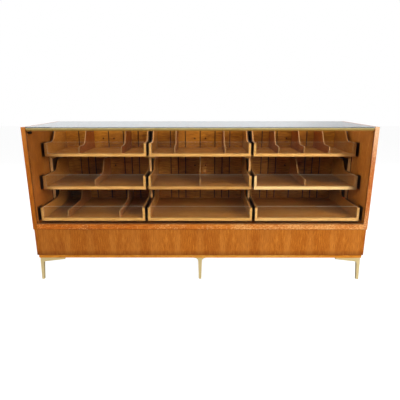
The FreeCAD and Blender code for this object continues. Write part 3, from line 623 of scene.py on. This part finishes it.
def make_back_wood(inner_face, pitch):
    """The back boards: inner faces toned by row, with a painted bluish haze of reflections in the
    lower rows, painted shade in the grooves and a stain round each screw.
    """
    stain_reach, stain_core = 7 * MM, 4 * MM
    groove_start = 0.2 * MM
    material = make_oak("drawer_back_wood", "x", BACK_OAK, bands=0.4, streaks=0.9, mottle=0.5,
                        coat=0.3)
    tree, wood = bare_colour(material)
    x, y, z = parts(tree, own_place(tree)[0])
    across = maths(tree, "PINGPONG", maths(tree, "ADD", x, pitch / 2), pitch / 2)
    aside = maths(tree, "SUBTRACT", across, pitch / 2 - SCREW_OFFSET)
    stains = 0.0
    for row in ROWS:
        level = maths(tree, "SUBTRACT", z, screw_level(row, inner_face))
        squares = maths(tree, "ADD", product(tree, aside, aside), product(tree, level, level))
        stain = between(tree, maths(tree, "SQRT", squares), stain_reach, stain_core)
        stains = maths(tree, "MAXIMUM", stain, stains)
    top_row = maths(tree, "GREATER_THAN", z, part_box("drawer_top_centre_back")[0].z)
    tint = mix_colour(tree, top_row, LOWER_BACK_HAZE, TOP_BACK_TINT)
    ended = maths(tree, "LESS_THAN", y, inner_face + BACK_GROOVE)
    wood = mix_colour(tree, ended, wood, tint, "MULTIPLY")
    wood = mix_colour(tree, product(tree, stains, 0.8), wood, srgb(50, 24, 12))
    # Painted shade in the grooves.
    started = maths(tree, "GREATER_THAN", y, inner_face + groove_start)
    groove_shade = product(tree, started, ended)
    return repaint(material, mix_colour(tree, groove_shade, wood, srgb(62, 28, 14)))


def make_ply():
    """Thin plywood dividers: reddish faces, with painted shade in the top row, and pale layered
    edges.
    """
    material = make_oak("divider_ply", "y", PLY_WOOD, bands=0.3, mottle=0.4, pores=0.2,
                        cloud_depth=0.15)
    tree, wood = bare_colour(material)
    place, normal = own_place(tree)
    x, _, z = parts(tree, place)
    layers = maths(tree, "PINGPONG", x, PLY_LAYER)
    layers = between(tree, layers, 0.25 * PLY_LAYER, 0.75 * PLY_LAYER)
    pale = ramp(tree, layers, [(0.0, srgb(140, 92, 52)), (1.0, srgb(176, 126, 78))])
    # Painted shade on the dividers in the top row.
    top_row = maths(tree, "GREATER_THAN", z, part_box("drawer_top_centre_box")[0].z)
    wood = mix_colour(tree, top_row, wood, TOP_PLY_SHADE, "MULTIPLY")
    return repaint(material, mix_colour(tree, facing(tree, normal, 0), pale, wood))


def make_metal(name, colour, shade, roughness, brush, metallic=1.0):
    """Metal with a fine brushed finish and soft clouds of tarnish."""
    material, tree, shader = new_material(name)
    place, _ = own_place(tree)
    handling = use_group(tree, HANDLING, {"Vector": place, "Size": 14.0})
    lines = noise(tree, place, brush, 3.0, 0.6)
    bump = add(tree, "ShaderNodeBump", {
        "Strength": 0.12, "Distance": METAL_RELIEF, "Height": lines,
    })
    dull = product(tree, handling.outputs["Mask"], 0.45)
    set_inputs(tree, shader, {
        "Base Color": mix_colour(tree, dull, colour, shade),
        "Roughness": scaled(tree, lines, roughness - 0.08, roughness + 0.12),
        "Normal": bump.outputs[0],
    })
    shader.inputs["Metallic"].default_value = metallic
    return material


def make_edge_brass():
    """The brass angle along the glass: bright at its rounded top, with painted shade down its face.
    """
    low, high = (corner.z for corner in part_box("brass_edge_strip"))
    material = make_metal("polished_brass", srgb(208, 184, 118), srgb(180, 152, 88), 0.26,
                          (6.0, 900.0, 900.0), metallic=0.45)
    tree, brass = bare_colour(material)
    z = parts(tree, own_place(tree)[0])[2]
    # Painted shade down the face below the rounded top.
    bright = between(tree, z, low + 0.30 * (high - low), low + 0.62 * (high - low))
    return repaint(material, mix_colour(tree, bright, srgb(168, 126, 60), brass))


def make_handle_brass(inner_face):
    """Brass cup handles, and darker steel on the screw ends that show inside the drawer."""
    material = make_metal("handle_brass", srgb(206, 172, 96), srgb(132, 100, 48), 0.30,
                          (40.0, 700.0, 700.0))
    tree, brass = bare_colour(material)
    y = parts(tree, own_place(tree)[0])[1]
    inside = maths(tree, "LESS_THAN", y, inner_face)
    return repaint(material, mix_colour(tree, inside, brass, srgb(58, 46, 34)))


def make_glass(name, tint, roughness=0.0, dust=0.0):
    """Clear glass that lets the lamps' light through, with some dust where asked for."""
    material, tree, shader = new_material(name)
    shader.inputs["Base Color"].default_value = tint
    shader.inputs["Roughness"].default_value = roughness
    shader.inputs["Transmission Weight"].default_value = 1.0
    shader.inputs["IOR"].default_value = 1.47
    surface = shader
    if dust:
        handling = use_group(tree, HANDLING, {"Vector": own_place(tree)[0], "Size": 18.0})
        amount = scaled(tree, handling.outputs["Mask"], 0.7 * dust, 1.3 * dust)
        film = add(tree, "ShaderNodeBsdfDiffuse", {"Color": srgb(236, 226, 206)})
        surface = mix_shader(tree, amount, shader, film)
    clear = add(tree, "ShaderNodeBsdfTransparent", {"Color": (0.93, 0.96, 0.94, 1.0)})
    path = tree.nodes.new("ShaderNodeLightPath")
    show(tree, mix_shader(tree, path.outputs["Is Shadow Ray"], surface, clear))
    return material


def make_plate_black():
    """Black enamel on the small plate, a little dusty."""
    material, tree, shader = new_material("black_enamel")
    handling = use_group(tree, HANDLING, {"Vector": own_place(tree)[0], "Size": 160.0})
    dust = product(tree, handling.outputs["Mask"], 0.3)
    set_inputs(tree, shader, {
        "Base Color": mix_colour(tree, dust, srgb(16, 14, 15), srgb(52, 46, 42)),
        "Roughness": scaled(tree, handling.outputs["Scuffs"], 0.28, 0.5),
    })
    return material


def make_materials():
    """Every finish on the cabinet, by name."""
    inner_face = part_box("drawer_top_centre_back")[0].y
    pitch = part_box("drawer_top_right_box")[0].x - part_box("drawer_top_centre_box")[0].x
    made = {
        "panel_left": make_panel("left"),
        "panel_right": make_panel("right"),
        "inside_upright": make_upright_wood(),
        "inside_long": make_oak("oak_inside_long", "x", INSIDE_OAK),
        "rail": make_rail_wood(),
        "plinth": make_plinth_veneer(),
        "sub_base": make_oak("sub_base_veneer", "x", SUB_BASE_OAK, cloud_depth=0.05),
        "back": make_back_wood(inner_face, pitch),
        "runner": make_oak("runner_wood", "y", RUNNER_WOOD, coat=0.05, roughness=0.55),
        "ply": make_ply(),
        "brass": make_edge_brass(),
        "handle": make_handle_brass(inner_face),
        "gold": make_metal("satin_gold", srgb(246, 220, 160), srgb(228, 202, 138), 0.45,
                           (500.0, 500.0, 30.0), metallic=0.2),
        "steel": make_metal("screw_steel", srgb(150, 146, 138), srgb(96, 92, 86), 0.40,
                            (300.0, 300.0, 300.0)),
        "glass": make_glass("clear_glass", (0.985, 0.995, 0.988, 1.0)),
        "glass_edge": make_glass("glass_edge", (0.36, 0.66, 0.56, 1.0), 0.25),
        "top_edge": make_glass("top_edge", (0.92, 0.95, 0.93, 1.0), 0.25),
        "lip": make_glass("lip_glass", (0.98, 0.99, 0.98, 1.0), dust=0.004),
        "lip_edge": make_glass("lip_edge", (0.88, 0.93, 0.86, 1.0), 0.35, dust=0.45),
        "black": make_plate_black(),
    }
    for row in ROWS:
        made[f"tray_{row}"] = make_tray_wood(row, pitch)
    return made


materials = make_materials()

CASE_FINISHES = {
    "end_panel_left": "panel_left",
    "end_panel_right": "panel_right",
    "base_board": "inside_long",
    "front_rail": "rail",
    "rear_top_rail": "inside_long",
    "uprights": "inside_upright",
    "side_posts": "inside_upright",
    "drawer_runners": "runner",
    "brass_edge_strip": "brass",
    "plinth_front": "plinth",
    "plinth_frame": "plinth",
    "sub_base": "sub_base",
    "corner_legs": "gold",
    "centre_legs": "gold",
    "leg_screws": "steel",
}


def coat(node, finish):
    """Gives a CAD piece its finish."""
    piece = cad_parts[node]
    piece.data.materials.clear()
    piece.data.materials.append(materials[finish])


def coat_pieces():
    """Finishes the case and the drawers."""
    for node, finish in CASE_FINISHES.items():
        coat(node, finish)
    for row, column in DRAWERS:
        name = f"drawer_{row}_{column}"
        coat(f"{name}_box", f"tray_{row}")
        coat(f"{name}_back", "back")
        coat(f"{name}_handle", "handle")
        if f"{name}_dividers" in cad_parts:
            coat(f"{name}_dividers", "ply")


# Glass panes and the label plate

def block(low, high):
    """A plain block between two corners."""
    shape = bmesh.new()
    bmesh.ops.create_cube(shape, size=1.0)
    size = high - low
    for vertex in shape.verts:
        vertex.co = Vector(part * length for part, length in zip(vertex.co, size)) + (low + high) / 2
    return shape


def new_piece(name, shape, *finishes):
    """A new object from a shape, with its finishes in order."""
    mesh = bpy.data.meshes.new(name)
    shape.to_mesh(mesh)
    shape.free()
    for finish in finishes:
        mesh.materials.append(materials[finish])
    piece = bpy.data.objects.new(name, mesh)
    bpy.context.scene.collection.objects.link(piece)
    return piece


def make_pane(node, body, arris, clear="glass", edge="glass_edge"):
    """A pane with ground edges in place of a plain one: clear faces and tinted edges."""
    low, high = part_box(node)
    size = high - low
    shape = block(low, high)
    bmesh.ops.bevel(shape, geom=list(shape.edges), offset=arris, segments=2, affect="EDGES")
    thin = min(range(3), key=lambda axis: size[axis])
    shape.normal_update()
    for face in shape.faces:
        face.material_index = 0 if abs(face.normal[thin]) > FLAT else 1
        face.smooth = False
    pane = new_piece(node + "_pane", shape, clear, edge)
    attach(pane, body)
    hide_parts(node)


def make_panes():
    """The glass top and front, and each drawer's glass lip."""
    make_pane("glass_top", "cabinet", 1.0 * MM, edge="top_edge")
    make_pane("glass_front", "cabinet", 0.8 * MM)
    for row, column in DRAWERS:
        body = f"drawer_{row}_{column}"
        make_pane(f"{body}_glass", body, 0.6 * MM, "lip", "lip_edge")


def make_label_plate():
    """The small blank plate that is fixed inside the front glass, in its top left corner."""
    glass_low, glass_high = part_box("glass_front")
    strip_low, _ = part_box("brass_edge_strip")
    width, height, thickness = 23 * MM, 13 * MM, 1.2 * MM
    margin, gap = 5 * MM, 2 * MM
    corner, rim = 2 * MM, 0.3 * MM

    def through(edge):
        """Whether an edge runs through the plate's thickness."""
        return abs(edge.verts[0].co.y - edge.verts[1].co.y) > thickness / 2

    low = Vector((glass_low.x + margin, glass_high.y, strip_low.z - gap - height))
    shape = block(low, low + Vector((width, thickness, height)))
    corners = [edge for edge in shape.edges if through(edge)]
    bmesh.ops.bevel(shape, geom=corners, offset=corner, segments=4, affect="EDGES")
    rims = [edge for edge in shape.edges if not through(edge)]
    bmesh.ops.bevel(shape, geom=rims, offset=rim, segments=2, affect="EDGES")
    plate = new_piece("label_plate", shape, "black")
    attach(plate, "cabinet")


# Camera, lights and floor

def make_camera():
    """A camera a little above the top, looking down at the front."""
    data = bpy.data.cameras.new("camera")
    data.sensor_width = CAMERA_SENSOR
    data.lens = CAMERA_LENS
    camera = bpy.data.objects.new("camera", data)
    camera.location = CAMERA_PLACE
    camera.rotation_euler = Euler([math.radians(turn) for turn in CAMERA_TURNS], "XYZ")
    bpy.context.scene.collection.objects.link(camera)
    bpy.context.scene.camera = camera


def make_light(name, place, target, size, power, through_glass):
    """A soft panel of light that faces its target, with no hard shape of its own in the glass."""
    data = bpy.data.lights.new(name, "AREA")
    data.shape = "RECTANGLE"
    data.size, data.size_y = size
    data.energy = power
    data.use_nodes = True
    tree = data.node_tree
    path = tree.nodes.new("ShaderNodeLightPath")
    straight = maths(tree, "LESS_THAN", path.outputs["Diffuse Depth"], 0.5)
    mirrored = maths(tree, "GREATER_THAN", path.outputs["Glossy Depth"], 0.5)
    strength = maths(tree, "SUBTRACT", 1.0, product(tree, mirrored, straight))
    set_inputs(tree, find(tree, "EMISSION"), {"Strength": strength})
    light = bpy.data.objects.new(name, data)
    light.location = place
    aim = Vector(target) - Vector(place)
    light.rotation_euler = aim.to_track_quat("-Z", "Y").to_euler()
    light.visible_glossy = False
    light.visible_transmission = through_glass
    bpy.context.scene.collection.objects.link(light)


def make_world():
    """A white surround behind the cabinet and a dim room in front, seen in its reflections."""
    world = bpy.data.worlds.new("surround")
    world.use_nodes = True
    tree = world.node_tree
    tree.nodes.clear()
    x, y, _ = parts(tree, tree.nodes.new("ShaderNodeTexCoord").outputs["Generated"])
    path = tree.nodes.new("ShaderNodeLightPath")
    behind = between(tree, y, -0.1, 0.4)
    dimmed = product(tree, between(tree, x, 0.18, 0.36), 0.22)
    backlight = product(tree, behind, maths(tree, "SUBTRACT", MIRRORED_WALL, dimmed))
    mirrored = maths(tree, "ADD", backlight, MIRRORED_ROOM)
    in_mirror = maths(tree, "GREATER_THAN", path.outputs["Glossy Depth"], 0.5)
    bounced = maths(tree, "GREATER_THAN", path.outputs["Diffuse Depth"], 0.5)
    bright = mix_value(tree, in_mirror, 1.0, mirrored)
    backdrop = add(tree, "ShaderNodeBackground", {
        "Color": mix_colour(tree, in_mirror, (1, 1, 1, 1), (0.92, 0.97, 1.0, 1)),
        "Strength": mix_value(tree, bounced, bright, AMBIENT),
    })
    output = tree.nodes.new("ShaderNodeOutputWorld")
    tree.links.new(backdrop.outputs[0], output.inputs["Surface"])
    bpy.context.scene.world = world


def make_floor():
    """A plain white floor, dimmer in reflections, so that the glass front stays clear."""
    mesh = bpy.data.meshes.new("floor")
    near, far = -FLOOR_REACH, FLOOR_REACH
    corners = [(near, near, 0), (far, near, 0), (far, far, 0), (near, far, 0)]
    mesh.from_pydata(corners, [], [(0, 1, 2, 3)])
    floor = bpy.data.objects.new("floor", mesh)
    bpy.context.scene.collection.objects.link(floor)
    material, tree, shader = new_material("pale_floor")
    shader.inputs["Base Color"].default_value = (0.25, 0.25, 0.25, 1.0)
    shader.inputs["Roughness"].default_value = 0.9
    shader.inputs["Specular IOR Level"].default_value = 0.0
    shader.inputs["Emission Color"].default_value = (1.0, 1.0, 1.0, 1.0)
    shader.inputs["Emission Strength"].default_value = FLOOR_GLOW
    dim = add(tree, "ShaderNodeBsdfDiffuse", {"Color": (0.06, 0.055, 0.05, 1.0)})
    path = tree.nodes.new("ShaderNodeLightPath")
    bounces = maths(tree, "ADD", path.outputs["Diffuse Depth"], path.outputs["Glossy Depth"])
    straight = maths(tree, "LESS_THAN", bounces, 0.5)
    through = product(tree, path.outputs["Is Transmission Ray"], straight)
    seen = maths(tree, "MAXIMUM", path.outputs["Is Camera Ray"], through)
    show(tree, mix_shader(tree, seen, dim, shader))
    mesh.materials.append(material)


def make_studio():
    """Camera, lights, floor and the way colours are shown."""
    make_camera()
    make_world()
    make_floor()
    for lamp in LAMPS:
        make_light(*lamp)
    bpy.context.scene.view_settings.view_transform = "Standard"


coat_pieces()
make_panes()
make_label_plate()
make_studio()
